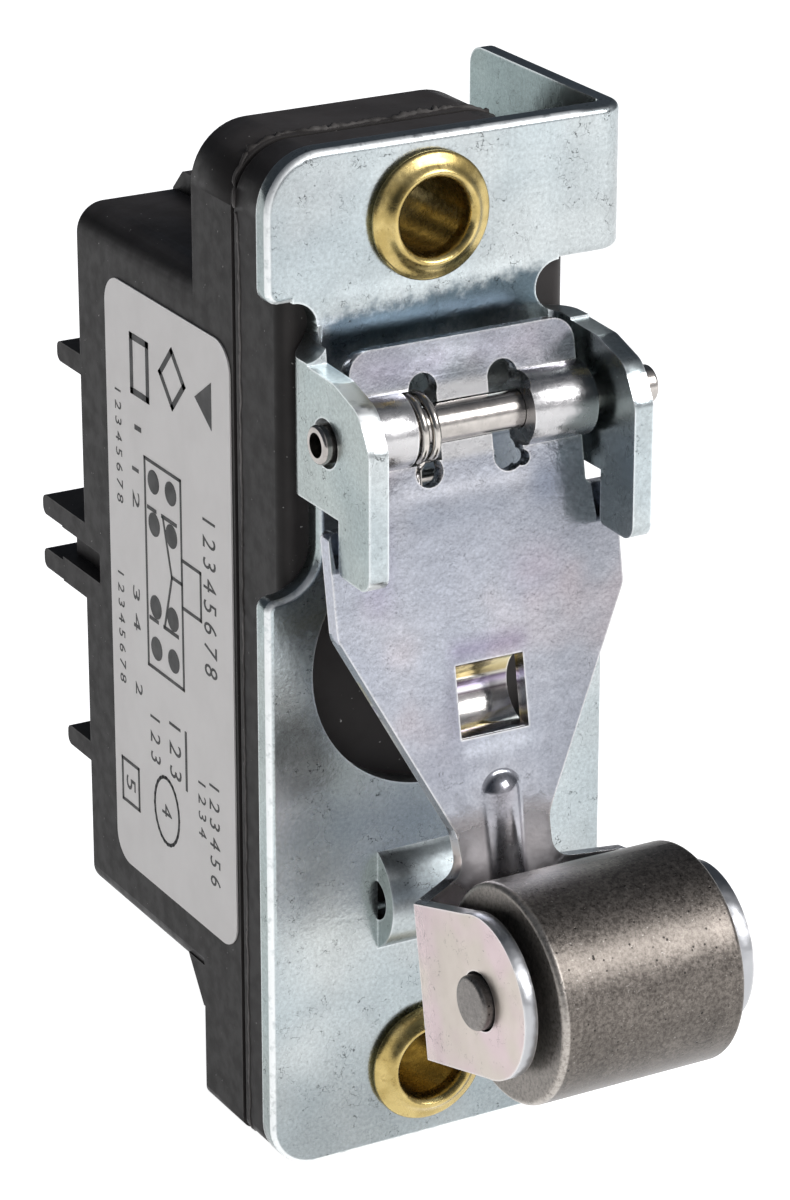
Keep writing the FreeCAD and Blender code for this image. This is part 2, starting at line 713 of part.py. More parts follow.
def plunger():
    tip = trough_back_y() + plunger_gap
    dome = Part.makeSphere(dome_r, Vector(body_x, tip + dome_r, plunger_z))
    stem = post(body_x, plunger_z, tip, plunger_end_y, plunger_r)
    rounded = stem.common(fuse([dome, post(body_x, plunger_z, tip + dome_r, plunger_end_y, plunger_r + 1)]))
    collar = post(body_x, plunger_z, collar_y, collar_y + collar_t, collar_r)
    seat = post(body_x, plunger_z, seat_collar_y, seat_collar_y + collar_t, collar_r)
    nose = post(body_x, plunger_z, plunger_end_y - 1, plunger_end_y + 2.0, 1.1)
    return fuse([rounded, collar, seat, nose])


def plunger_return_spring():
    return coil(1.6, 1.55, 11, 0.26, Vector(body_x, plunger_end_y + 0.3, plunger_z), Y_AXIS)


def rocker(sign):
    """Moulded rocker that carries one contact bridge: sign is 1 for the upper pole."""
    pivot = plunger_z + sign * rocker_z
    end = plunger_z + sign * (bridge_z + 2.2)
    hub = rod(body_x - rocker_half, body_x + rocker_half, rocker_y, pivot, rocker_hub_r)
    arm = box(body_x - 1.3, body_x + 1.3, rocker_y - rocker_arm_t / 2.0, rocker_y + rocker_arm_t / 2.0,
              min(pivot, end), max(pivot, end))
    body = fuse([hub, arm])
    bore = rod(body_x - 5, body_x + 5, rocker_y, pivot, rocker_pin_r + running_gap)
    window = box(body_x - 3, body_x + 3, rocker_y - bridge_t / 2.0, rocker_y + bridge_t / 2.0,
                 plunger_z + sign * bridge_z - 1.4, plunger_z + sign * bridge_z + 1.4)
    return body.cut(bore).cut(window)


def rocker_pin(sign):
    return rod(body_x - rocker_pin_half, body_x + rocker_pin_half, rocker_y, plunger_z + sign * rocker_z,
               rocker_pin_r)


def contact_bridge(sign):
    z = plunger_z + sign * bridge_z
    return slab_y(rounded_rect(body_x - bridge_half, body_x + bridge_half, z - 1.4, z + 1.4, 0.6, 0.6),
                  rocker_y - bridge_t / 2.0, rocker_y + bridge_t / 2.0)


def moving_contacts(sign):
    """Contact buttons on both faces of a bridge, four in all."""
    z = plunger_z + sign * bridge_z
    buttons = []
    for side in (-1, 1):
        x = body_x + side * column_x
        buttons.append(post(x, z, rocker_y - bridge_t / 2.0 - contact_t, rocker_y - bridge_t / 2.0, contact_r))
        buttons.append(post(x, z, rocker_y + bridge_t / 2.0, rocker_y + bridge_t / 2.0 + contact_t, contact_r))
    return Part.makeCompound(buttons)


def snap_spring(sign):
    """Over-centre compression spring from the plunger's nose to the arm of a rocker."""
    start = Vector(body_x, seat_collar_y + collar_t + 0.6, plunger_z + sign * 3.6)
    end = Vector(body_x, rocker_y - rocker_arm_t / 2.0 - 0.6, plunger_z + sign * 9.2)
    along = end - start
    turns = 6
    return coil(0.75, along.Length / turns, turns, 0.17, start, along)


def terminal(row, side):
    """Brass strip: pad under the screw, leg through the back wall and contact strip inside."""
    x = body_x + side * column_x
    outer_row = row in (0, 3)
    sign = 1 if row < 2 else -1
    leg_z = leg_zs[row]
    end_y = front_plate_y if outer_row else back_plate_y
    contact_z = plunger_z + sign * bridge_z
    pad_z0 = min(row_zs[row] - 3.6, leg_z - leg_t / 2.0)
    pad_z1 = max(row_zs[row] + 3.6, leg_z + leg_t / 2.0)
    pad = box(x - 3.6, x + 3.6, block_back_y, block_back_y + 1.2, pad_z0, pad_z1)
    pad = pad.cut(post(x, row_zs[row], block_back_y - 1, block_back_y + 2, 1.45))
    leg = box(x - leg_half, x + leg_half, end_y, block_back_y + 0.6,
              leg_z - leg_t / 2.0, leg_z + leg_t / 2.0)
    far = contact_z + (-1.6 if (sign > 0) == outer_row else 1.6)
    strip = box(x - leg_half, x + leg_half, end_y, end_y + leg_t,
                min(leg_z, far), max(leg_z, far))
    return fuse([pad, leg, strip])


def fixed_contacts():
    """Eight buttons: one on the contact strip of each terminal."""
    buttons = []
    for sign in (1, -1):
        z = plunger_z + sign * bridge_z
        for side in (-1, 1):
            x = body_x + side * column_x
            buttons.append(post(x, z, front_plate_y + leg_t, front_plate_y + leg_t + contact_t, contact_r))
            buttons.append(post(x, z, back_plate_y - contact_t, back_plate_y, contact_r))
    return Part.makeCompound(buttons)


def terminal_screws():
    """Pan-head screws with a cross slot, one on each terminal."""
    screws = []
    top_y = block_back_y + 1.2 + 0.8
    for z in row_zs:
        for side in (-1, 1):
            x = body_x + side * column_x
            head = post(x, z, top_y, top_y + 1.7, 2.7)
            shank = post(x, z, cavity_back_y + 1.2, top_y, 1.4)
            screw = fuse([head, shank])
            for half_x, half_z in ((0.35, 2.0), (2.0, 0.35)):
                screw = screw.cut(box(x - half_x, x + half_x, top_y + 0.8, top_y + 3, z - half_z, z + half_z))
            screws.append(screw)
    return Part.makeCompound(screws)


def terminal_clamps():
    """Square clamp washers under the screw heads."""
    clamps = []
    y0 = block_back_y + 1.2
    for z in row_zs:
        for side in (-1, 1):
            x = body_x + side * column_x
            plate = slab_y(rounded_rect(x - 3.2, x + 3.2, z - 3.2, z + 3.2, 0.6, 0.6), y0, y0 + 0.8)
            clamps.append(plate.cut(post(x, z, y0 - 1, y0 + 2, 1.5)))
    return Part.makeCompound(clamps)


# ---- write every sub-part ---------------------------------------------------------------------
def main():
    os.makedirs("parts", exist_ok=True)
    parts = {
        "base_housing": base_housing(),
        "front_cover": front_cover(),
        "cover_gasket": cover_gasket(),
        "mounting_plate": mounting_plate(),
        "upper_eyelet": eyelet(hole_z),
        "lower_eyelet": eyelet(-hole_z),
        "side_label": side_label(),
        "pivot_pin": pivot_pin(),
        "lever": lever(),
        "lever_return_spring": lever_return_spring(),
        "roller": roller(),
        "roller_pin": roller_pin(),
        "plunger": plunger(),
        "plunger_seal": plunger_seal(),
        "plunger_return_spring": plunger_return_spring(),
        "fixed_contacts": fixed_contacts(),
        "terminal_screws": terminal_screws(),
        "terminal_clamps": terminal_clamps(),
    }
    for name, sign in (("upper", 1), ("lower", -1)):
        parts[name + "_rocker"] = rocker(sign)
        parts[name + "_rocker_pin"] = rocker_pin(sign)
        parts[name + "_contact_bridge"] = contact_bridge(sign)
        parts[name + "_moving_contacts"] = moving_contacts(sign)
        parts[name + "_snap_spring"] = snap_spring(sign)
    for row in range(len(row_zs)):
        for name, side in (("left", -1), ("right", 1)):
            parts["terminal_row%d_%s" % (row + 1, name)] = terminal(row, side)
    axis_y, axis_z = lever_point(roller_axis_y, roller_axis_z)
    print("roller axis y %.4f z %.4f" % (axis_y, axis_z))
    for name, shape in parts.items():
        shape.exportStep("parts/%s.step" % name)
        bounds = shape.BoundBox
        print("%-24s solids %d valid %s volume %.1f  x %.2f..%.2f y %.2f..%.2f z %.2f..%.2f" % (
            name, len(shape.Solids), shape.isValid(), shape.Volume, bounds.XMin, bounds.XMax,
            bounds.YMin, bounds.YMax, bounds.ZMin, bounds.ZMax))


main()
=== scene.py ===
import bpy
import bmesh
import json
import math

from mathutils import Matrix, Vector, noise


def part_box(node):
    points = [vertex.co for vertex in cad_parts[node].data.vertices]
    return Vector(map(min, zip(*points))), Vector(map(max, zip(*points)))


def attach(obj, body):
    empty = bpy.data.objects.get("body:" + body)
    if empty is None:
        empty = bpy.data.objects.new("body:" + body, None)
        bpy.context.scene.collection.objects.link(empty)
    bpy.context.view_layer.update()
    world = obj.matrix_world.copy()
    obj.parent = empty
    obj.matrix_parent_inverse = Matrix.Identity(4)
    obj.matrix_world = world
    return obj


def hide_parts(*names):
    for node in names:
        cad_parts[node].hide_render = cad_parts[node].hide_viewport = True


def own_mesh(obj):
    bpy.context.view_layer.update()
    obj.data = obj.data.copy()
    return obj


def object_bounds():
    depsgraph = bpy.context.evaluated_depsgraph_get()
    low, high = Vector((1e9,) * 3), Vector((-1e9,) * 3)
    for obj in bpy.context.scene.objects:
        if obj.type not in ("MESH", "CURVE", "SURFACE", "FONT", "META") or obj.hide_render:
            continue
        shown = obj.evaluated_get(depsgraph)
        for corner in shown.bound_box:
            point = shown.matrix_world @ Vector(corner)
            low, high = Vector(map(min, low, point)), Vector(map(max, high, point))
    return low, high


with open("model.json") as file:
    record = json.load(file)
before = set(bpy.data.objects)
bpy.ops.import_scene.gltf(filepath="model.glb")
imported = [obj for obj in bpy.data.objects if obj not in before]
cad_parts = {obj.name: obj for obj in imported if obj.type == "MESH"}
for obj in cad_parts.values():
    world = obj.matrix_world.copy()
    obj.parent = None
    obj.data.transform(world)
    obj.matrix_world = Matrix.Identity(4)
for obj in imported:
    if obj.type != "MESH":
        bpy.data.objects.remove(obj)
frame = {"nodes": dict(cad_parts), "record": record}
cad_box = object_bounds()

MM = 0.001
RECORD = frame["record"]
JOINTS = {joint["name"]: joint for joint in RECORD["behaviour"]["joints"]}
PIN = Vector(JOINTS["lever_pivot"]["pos_m"])
LEVER_LEAN = math.radians(10.4)     # the free lever leans out at the bottom
LEVER_UP = Vector((0.0, math.sin(LEVER_LEAN), math.cos(LEVER_LEAN)))
LEVER_BACK = Vector((0.0, math.cos(LEVER_LEAN), -math.sin(LEVER_LEAN)))
BODY_X = 0.7                        # middle of the switch, in millimetres like all plain lengths below
RIB_X = 0.8                         # middle of the lever's rib
STRAP_Z = -18.45                    # middle of the over-travel strap
UP = (0.0, 0.0, 1.0)
RIGHT = (1.0, 0.0, 0.0)
LEFT = (-1.0, 0.0, 0.0)
FRONT = (0.0, -1.0, 0.0)
BACK = (0.0, 1.0, 0.0)
MIDDLE = (BODY_X * MM, 0.0, 0.0)    # a point in the middle plane of the switch
ROLLER_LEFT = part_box("roller")[0].x / MM
NECK_SLOPE = (-0.075, 0.0, 1.0)     # the shadow under the pad climbs a little to the right
CAMERA_AZIMUTH = -29.21
CAMERA_ELEVATION = 21.69
CAMERA_DISTANCE = 313.63
CAMERA_TARGET = (-2.575, 0.0, 4.45)
CAMERA_LENS = 134.46


# ---- material recipes --------------------------------------------------------------------------
def rgba(value):
    if isinstance(value, (int, float)):
        return (value, value, value, 1.0)
    return tuple(value) + (1.0,) * (4 - len(value))


class Recipe:
    """Builds one procedural material node by node, in the part's own coordinates."""

    def __init__(self, name):
        self.material = bpy.data.materials.new(name)
        self.material.use_nodes = True
        self.nodes = self.material.node_tree.nodes
        self.links = self.material.node_tree.links
        self.shader = self.nodes["Principled BSDF"]
        coordinates = self.nodes.new("ShaderNodeTexCoord")
        self.where = coordinates.outputs["Object"]
        self.facing = coordinates.outputs["Normal"]

    def set(self, socket, value):
        self.shader.inputs[socket].default_value = value

    def link(self, source, socket):
        self.links.new(source, self.shader.inputs[socket])

    def stretched(self, scale):
        node = self.nodes.new("ShaderNodeMapping")
        node.inputs["Scale"].default_value = scale
        self.links.new(self.where, node.inputs["Vector"])
        return node.outputs["Vector"]

    def noise(self, size_mm, detail=4.0, rough=0.55, vector=None):
        node = self.nodes.new("ShaderNodeTexNoise")
        node.inputs["Scale"].default_value = 1.0 / (size_mm * MM)
        node.inputs["Detail"].default_value = detail
        node.inputs["Roughness"].default_value = rough
        self.links.new(vector or self.where, node.inputs["Vector"])
        return node.outputs["Fac"]

    def pores(self, size_mm):
        node = self.nodes.new("ShaderNodeTexVoronoi")
        node.inputs["Scale"].default_value = 1.0 / (size_mm * MM)
        self.links.new(self.where, node.inputs["Vector"])
        return node.outputs["Distance"]

    def ramp(self, source, stops):
        node = self.nodes.new("ShaderNodeValToRGB")
        first, last = node.color_ramp.elements[0], node.color_ramp.elements[1]
        first.position, first.color = stops[0][0], rgba(stops[0][1])
        last.position, last.color = stops[-1][0], rgba(stops[-1][1])
        for position, value in stops[1:-1]:
            node.color_ramp.elements.new(position).color = rgba(value)
        self.links.new(source, node.inputs["Fac"])
        return node.outputs["Color"]

    def mix(self, factor, a, b, blend="MIX"):
        node = self.nodes.new("ShaderNodeMix")
        node.data_type = "RGBA"
        node.blend_type = blend
        if isinstance(factor, (int, float)):
            node.inputs[0].default_value = factor
        else:
            self.links.new(factor, node.inputs[0])
        for value, index in ((a, 6), (b, 7)):
            if isinstance(value, (tuple, int, float)):
                node.inputs[index].default_value = rgba(value)
            else:
                self.links.new(value, node.inputs[index])
        return node.outputs[2]

    def spread(self, source, low, high, to_low=0.0, to_high=1.0):
        """Smooth step of a value between two limits."""
        node = self.nodes.new("ShaderNodeMapRange")
        node.interpolation_type = "SMOOTHSTEP"
        for socket, value in (("From Min", low), ("From Max", high), ("To Min", to_low), ("To Max", to_high)):
            node.inputs[socket].default_value = value
        self.links.new(source, node.inputs["Value"])
        return node.outputs["Result"]

    def calc(self, operation, a, b=0.0):
        node = self.nodes.new("ShaderNodeMath")
        node.operation = operation
        for value, index in ((a, 0), (b, 1)):
            if isinstance(value, (int, float)):
                node.inputs[index].default_value = value
            else:
                self.links.new(value, node.inputs[index])
        return node.outputs[0]

    def plus(self, a, b):
        return self.calc("ADD", a, b)

    def less(self, a, b):
        return self.calc("SUBTRACT", a, b)

    def times(self, a, b):
        return self.calc("MULTIPLY", a, b)

    def larger(self, a, b):
        return self.calc("MAXIMUM", a, b)

    def magnitude(self, a):
        return self.calc("ABSOLUTE", a)

    def along(self, direction, origin=(0.0, 0.0, 0.0), source=None):
        """Distance of a point from an origin, measured along a direction, in millimetres."""
        shift = self.nodes.new("ShaderNodeVectorMath")
        shift.operation = "SUBTRACT"
        shift.inputs[1].default_value = origin
        self.links.new(source or self.where, shift.inputs[0])
        dot = self.nodes.new("ShaderNodeVectorMath")
        dot.operation = "DOT_PRODUCT"
        dot.inputs[1].default_value = tuple(direction)
        self.links.new(shift.outputs[0], dot.inputs[0])
        if source is not None:
            return dot.outputs["Value"]
        return self.calc("DIVIDE", dot.outputs["Value"], MM)

    def patch(self, x, half_x, height, half_height, soft, up, origin=(0.0, 0.0, 0.0)):
        """Soft-edged rectangle on a sheet, given in millimetres along X and along its own up direction."""
        across = self.magnitude(self.less(self.along(RIGHT), x))
        rise = self.magnitude(self.less(self.along(up, origin), height))
        return self.times(self.spread(across, half_x + soft, half_x - soft),
                          self.spread(rise, half_height + soft, half_height - soft))

    def turned_to(self, direction, low=0.6, high=0.9):
        """Mask of the faces that look along a direction."""
        return self.spread(self.along(direction, source=self.facing), low, high)

    def edges(self, radius_mm):
        """Mask of the sharp edges, where plating and moulding wear or roll over; the recipes paint wear and a
        rim highlight there.
        """
        bevel = self.nodes.new("ShaderNodeBevel")
        bevel.samples = 4
        bevel.inputs["Radius"].default_value = radius_mm * MM
        geometry = self.nodes.new("ShaderNodeNewGeometry")
        dot = self.nodes.new("ShaderNodeVectorMath")
        dot.operation = "DOT_PRODUCT"
        self.links.new(bevel.outputs["Normal"], dot.inputs[0])
        self.links.new(geometry.outputs["Normal"], dot.inputs[1])
        return self.spread(dot.outputs["Value"], 0.99, 0.86)

    def bump(self, *layers):
        """Stacked bumps: each layer is a height source and its depth in millimetres."""
        normal = None
        for source, depth_mm in layers:
            node = self.nodes.new("ShaderNodeBump")
            node.inputs["Distance"].default_value = depth_mm * MM
            self.links.new(source, node.inputs["Height"])
            if normal is not None:
                self.links.new(normal, node.inputs["Normal"])
            normal = node.outputs["Normal"]
        self.link(normal, "Normal")


def hairlines(r, size_mm, amount):
    """Multiplier with short dark scuffs that wander through the plating."""
    wander = r.magnitude(r.less(r.noise(size_mm, 3.0, 0.6), 0.5))
    line = r.spread(wander, 0.009, 0.002)
    patches = r.spread(r.noise(size_mm * 1.7, 4.0, 0.7), 0.50, 0.60)
    return r.spread(r.times(line, patches), 0.0, 1.0, 1.0, 1.0 - amount)


def scaled(r, tone, factor):
    """Colour multiplied by a plain factor or by a value from the nodes."""
    return r.mix(1.0, tone, factor, "MULTIPLY")


# The plate. A patch is: x, half width, height, half height, softness, tint. The plate's patches are painted
# light and shade: painted shade at the top-left corner and the lower end, painted reflection either side of
# the lever, and painted highlights over the neck band and on the strap.
PLATE_DARK, PLATE_LIGHT = (0.375, 0.42, 0.435), (0.43, 0.46, 0.465)
LEFT_SHADE_TINT, FLANGE_SHADE_TINT, NECK_TINT = (0.82, 0.86, 0.83), (0.72, 0.78, 0.78), (0.19, 0.24, 0.28)
WORN_ZINC_AND_HIGHLIGHT, ROLLED_RIM_HIGHLIGHT = (0.80, 0.83, 0.84), (0.88, 0.90, 0.90)
PAD_FRONT_Y = -0.3                  # everything of the plate in front of this is pushed or bent forward
FLANGE_X = 13.0
NECK_START = (-8.0 * MM, 0.0, 0.0)  # left end of the dark band in the neck
STRAP = (BODY_X, 5.0, STRAP_Z, 4.0, 0.3)
STRAP_GLEAM = (0.9, 3.0, STRAP_Z + 1.9, 1.1, 0.8)
PLATE_LIGHT_PATCHES = (
    (-9.5, 3.5, 33.0, 4.0, 3.0, (0.84, 0.84, 0.85)),
    (0.0, 14.0, -36.0, 4.0, 4.5, (0.72, 0.73, 0.74)),
    (9.0, 3.0, -17.0, 6.0, 4.0, (1.15, 1.13, 1.12)),
    (-8.0, 2.5, -14.0, 8.0, 4.0, (1.25, 1.22, 1.18)),
    (0.5, 7.5, 27.6, 0.3, 0.8, (1.25, 1.25, 1.25)),
    (*STRAP_GLEAM, (2.10, 2.10, 2.10)))


def paint_light_patches(r, tone, patches, up, origin=(0.0, 0.0, 0.0)):
    """Colour multiplied by the tint of each patch, inside that patch: mostly painted light and shade, with a
    few faint tints.
    """
    for *place, tint in patches:
        tone = r.mix(r.patch(*place, up, origin), tone, scaled(r, tone, tint))
    return tone


def neck_band(r):
    """Mask of the dark reflection in the neck of the plate, with a ragged lower and upper edge."""
    ragged = r.times(r.less(r.noise(1.2, 5.0, 0.7), 0.5), 3.0)
    height = r.plus(r.along(NECK_SLOPE, NECK_START), ragged)
    flat = r.spread(r.along(BACK), -0.8, -0.2)
    neck = r.spread(r.magnitude(r.along(RIGHT, MIDDLE)), 9.6, 8.0)
    band = r.times(r.times(r.spread(height, 26.6, 25.2), flat), neck)
    return r.times(band, r.spread(height, 21.5, 24.0))


def rolled_rim(r):
    """Mask of the free rims of the pads, rolled over by the die, but not of the bend of the flange; they get
    a painted highlight and a hazier finish.
    """
    rounding = r.times(r.turned_to(FRONT, 0.97, 0.85), r.turned_to(FRONT, 0.10, 0.35))
    outer = r.larger(r.spread(r.magnitude(r.along(UP)), 28.0, 30.0), r.spread(r.along(RIGHT), -8.5, -9.5))
    rounding = r.times(rounding, r.times(outer, r.spread(r.along(RIGHT), FLANGE_X, 11.5)))
    return r.times(rounding, r.spread(r.noise(0.8, 3.0), 0.30, 0.50, 0.45, 1.0))


def zinc_plate():
    r = Recipe("zinc_plate")
    r.set("Metallic", 1.0)
    tone = r.mix(r.spread(r.noise(11.0, 2.0), 0.35, 0.65), PLATE_DARK, PLATE_LIGHT)
    tone = scaled(r, tone, r.ramp(r.noise(0.28, 4.0, 0.7), [(0.28, 0.78), (0.72, 1.16)]))
    tone = scaled(r, tone, hairlines(r, 1.5, 0.75))
    tone = scaled(r, tone, hairlines(r, 0.7, 0.45))
    # painted shade, slightly tinted: faces turned to the left are darker, the inner face of the flange more
    # so
    left = r.turned_to(LEFT)
    tone = r.mix(left, tone, scaled(r, tone, LEFT_SHADE_TINT))
    flange = r.times(left, r.spread(r.along(RIGHT), FLANGE_X, FLANGE_X + 1.0))
    tone = r.mix(flange, tone, scaled(r, tone, FLANGE_SHADE_TINT))
    tone = scaled(r, tone, r.ramp(r.noise(7.0, 3.0), [(0.35, 0.90), (0.65, 1.08)]))
    tone = paint_light_patches(r, tone, PLATE_LIGHT_PATCHES, UP)
    tone = r.mix(neck_band(r), tone, scaled(r, tone, NECK_TINT))
    # worn plating on the sharp edges, with a painted rim highlight
    tone = r.mix(r.times(r.edges(0.30), 0.75), tone, WORN_ZINC_AND_HIGHLIGHT)
    rim = rolled_rim(r)
    tone = r.mix(rim, tone, ROLLED_RIM_HIGHLIGHT)
    r.link(tone, "Base Color")
    forward = r.spread(r.along(BACK), PAD_FRONT_Y, PAD_FRONT_Y - 0.5)
    hazy = r.larger(rim, r.times(r.patch(*STRAP_GLEAM, UP), forward))
    dull = r.larger(r.turned_to(UP, 0.3, 0.8), r.times(r.patch(*STRAP, UP), forward))
    dull = r.larger(r.times(dull, 0.08), r.times(hazy, 0.30))
    r.link(r.plus(r.spread(r.noise(2.6, 2.0), 0.3, 0.7, 0.23, 0.29), dull), "Roughness")
    r.bump((r.noise(2.4, 2.0), 0.022), (r.noise(0.40, 3.0), 0.013))
    return r.material


# The lever. Heights and depths are measured from the pin, along the lever and through its sheet.
DRAWN_DARK, DRAWN_LIGHT, ROSY_ZINC = (0.385, 0.402, 0.455), (0.43, 0.438, 0.482), (0.52, 0.44, 0.455)
KNUCKLE_ZINC, RIM_ZINC, BEND_PAINTED_LIGHT = (0.50, 0.49, 0.485), (0.42, 0.425, 0.44), (0.84, 0.80, 0.82)
FORK_GREEN, FORK_ROSE, WORN_LEVER_AND_HIGHLIGHT = (0.565, 0.505, 0.455), (0.60, 0.49, 0.50), (0.82, 0.81, 0.80)
FORK_TOP = -29.0
WINDOW_Z = -19.7
LEVER_BEND = (0.9, 4.2, -31.0, 1.9, 2.0)            # the matt bend above the fork, painted paler as if lit
# painted light and shade round the window, the slots and the tab, with a few faint tints
LEVER_LIGHT_PATCHES = (
    (0.7, 3.0, -16.1, 0.7, 0.9, (0.74, 0.68, 0.78)),
    (0.7, 2.8, -23.2, 0.5, 0.7, (1.35, 1.35, 1.33)),
    (-2.4, 0.4, -19.7, 2.6, 0.8, (0.80, 0.78, 0.80)),
    (0.5, 5.0, -4.7, 0.35, 0.7, (1.30, 1.28, 1.25)),
    (-0.5, 4.0, -6.4, 0.7, 1.0, (0.84, 0.86, 0.88)),
    (0.7, 1.6, 3.0, 0.8, 0.9, (0.62, 0.64, 0.62)),
    (-4.0, 3.2, 4.2, 0.8, 1.2, (1.12, 1.06, 1.12)),
    (2.5, 4.2, 4.6, 0.6, 0.9, (1.30, 1.26, 1.28)),
    (-1.2, 2.6, 4.6, 1.0, 1.0, (1.38, 1.40, 1.34)),
    (-5.5, 1.8, 2.4, 0.4, 0.8, (0.70, 0.72, 0.70)),
    (6.5, 1.2, -5.5, 1.4, 1.2, (0.78, 0.82, 0.88)),
    (-7.5, 1.0, -9.0, 3.5, 1.4, (0.88, 0.84, 0.92)),
    (5.2, 2.0, -11.5, 1.6, 1.8, (1.05, 0.96, 0.98)),
    (-3.5, 2.0, -22.0, 3.0, 2.5, (0.86, 0.85, 0.87)))
TROUGH_LOW, TROUGH_HIGH = -22.4, -17.0
TROUGH_BANDS = [                                    # reflections down the rounded trough in the window
    (0.0, (0.60, 0.58, 0.56)), (0.30, (0.72, 0.70, 0.68)), (0.42, (0.45, 0.42, 0.42)),
    (0.47, (0.16, 0.13, 0.15)), (0.53, (0.85, 0.83, 0.86)), (0.62, (0.60, 0.52, 0.70)),
    (0.70, (0.25, 0.20, 0.30)), (0.75, (0.85, 0.82, 0.75)), (0.80, (0.35, 0.28, 0.14)),
    (1.0, (0.55, 0.47, 0.24))]


def zinc_lever():
    r = Recipe("zinc_lever")
    r.set("Metallic", 1.0)
    tone = r.mix(r.spread(r.noise(8.0, 3.0), 0.35, 0.65), DRAWN_DARK, DRAWN_LIGHT)
    rosy = r.times(r.spread(r.noise(9.0, 2.0), 0.5, 0.7), 0.45)
    tone = r.mix(rosy, tone, ROSY_ZINC)
    tone = scaled(r, tone, r.ramp(r.noise(0.25, 4.0, 0.7), [(0.28, 0.80), (0.72, 1.16)]))
    tone = scaled(r, tone, hairlines(r, 1.3, 0.40))
    height = r.along(LEVER_UP, PIN)
    depth = r.along(LEVER_BACK, PIN)
    # painted shade: below the pin the lever darkens towards the right, and it darkens towards the bottom
    below = r.spread(height, -2.5, -5.0)
    tone = r.mix(below, tone, scaled(r, tone, r.spread(r.along(RIGHT, MIDDLE), 0.0, 9.0, 1.0, 0.76)))
    tone = scaled(r, tone, r.spread(height, -11.0, -27.0, 1.0, 0.76))
    tone = paint_light_patches(r, tone, LEVER_LIGHT_PATCHES, LEVER_UP, PIN)
    beside_rib = r.spread(r.magnitude(r.less(r.along(RIGHT), RIB_X)), 0.9, 1.7, 0.35, 1.0)
    bend = r.times(r.patch(*LEVER_BEND, LEVER_UP, PIN), beside_rib)
    tone = r.mix(bend, tone, BEND_PAINTED_LIGHT)
    knuckles = r.spread(r.magnitude(height), 3.1, 2.3)
    tone = r.mix(r.times(knuckles, 0.8), tone, KNUCKLE_ZINC)
    # painted light: the back of the sheet is made paler, standing for light thrown up from below
    rear = r.times(r.turned_to(LEVER_BACK), r.spread(depth, 0.3, 0.9))
    tone = r.mix(rear, tone, scaled(r, tone, 2.1))
    lower = r.spread(height, FORK_TOP, FORK_TOP - 2.0)
    rim = r.times(lower, r.spread(depth, -0.6, -1.6))
    tone = r.mix(rim, tone, RIM_ZINC)
    fork = r.times(r.turned_to(LEFT), lower)
    tone = r.mix(fork, tone, r.mix(r.spread(r.noise(7.0, 2.0), 0.4, 0.6), FORK_GREEN, FORK_ROSE))
    tone = scaled(r, tone, r.mix(fork, 1.0, hairlines(r, 1.1, 0.5)))
    inside = r.spread(r.magnitude(r.less(height, WINDOW_Z)), 2.9, 2.5)
    trough = r.times(r.spread(depth, 0.5, 1.3), inside)
    tone = r.mix(trough, tone, r.ramp(r.spread(height, TROUGH_LOW, TROUGH_HIGH), TROUGH_BANDS))
    # worn plating on the sharp edges, with a painted rim highlight
    tone = r.mix(r.times(r.edges(0.28), 0.75), tone, WORN_LEVER_AND_HIGHLIGHT)
    r.link(tone, "Base Color")
    dull = r.larger(r.larger(r.times(knuckles, 0.08), r.times(rim, 0.15)),
                    r.larger(r.times(rear, 0.15), r.times(bend, 0.30)))
    r.link(r.plus(r.spread(r.noise(1.2, 4.0), 0.3, 0.7, 0.14, 0.24), dull), "Roughness")
    across = r.less(5.5, r.magnitude(height))
    peened = r.times(r.noise(1.3, 3.0), r.spread(across, 0.0, 2.5, 0.2, 1.0))
    r.bump((r.noise(3.0, 2.0), 0.030), (peened, 0.045), (r.noise(0.3, 3.0), 0.007))
    return r.material


BRASS_DARK, BRASS_LIGHT, BRASS_SMUDGE = (0.40, 0.30, 0.11), (0.55, 0.43, 0.18), (0.35, 0.27, 0.16)


def brass(name, shine):
    r = Recipe(name)
    r.set("Metallic", 1.0)
    tone = r.mix(r.spread(r.noise(2.4, 3.0), 0.38, 0.62), BRASS_DARK, BRASS_LIGHT)
    smudge = r.ramp(r.noise(0.7, 5.0, 0.7), [(0.30, BRASS_SMUDGE), (0.42, 1.0)])
    tone = r.mix(0.55, tone, smudge, "MULTIPLY")
    r.link(tone, "Base Color")
    r.link(r.spread(r.noise(0.5, 3.0), 0.3, 0.7, shine, shine + 0.12), "Roughness")
    r.bump((r.noise(0.9, 2.0), 0.007), (r.noise(0.2, 3.0), 0.002))
    return r.material


LATHE_GRAIN = (1.0, 0.15, 0.15)     # noise drawn out round the roller, and along a drawn wire below
DRAWN_GRAIN = (0.2, 1.0, 1.0)
SHADED_UNDERSIDE = (0.0, -0.6, -0.8)
PAINTED_GLINT, WORN_SINTER_AND_HIGHLIGHT, CORNER_HIGHLIGHT = (0.62, 0.59, 0.55), (0.56, 0.52, 0.48), (0.50, 0.46, 0.42)
CORNER_INSET = 0.22                 # from the roller's left end to its painted highlight line
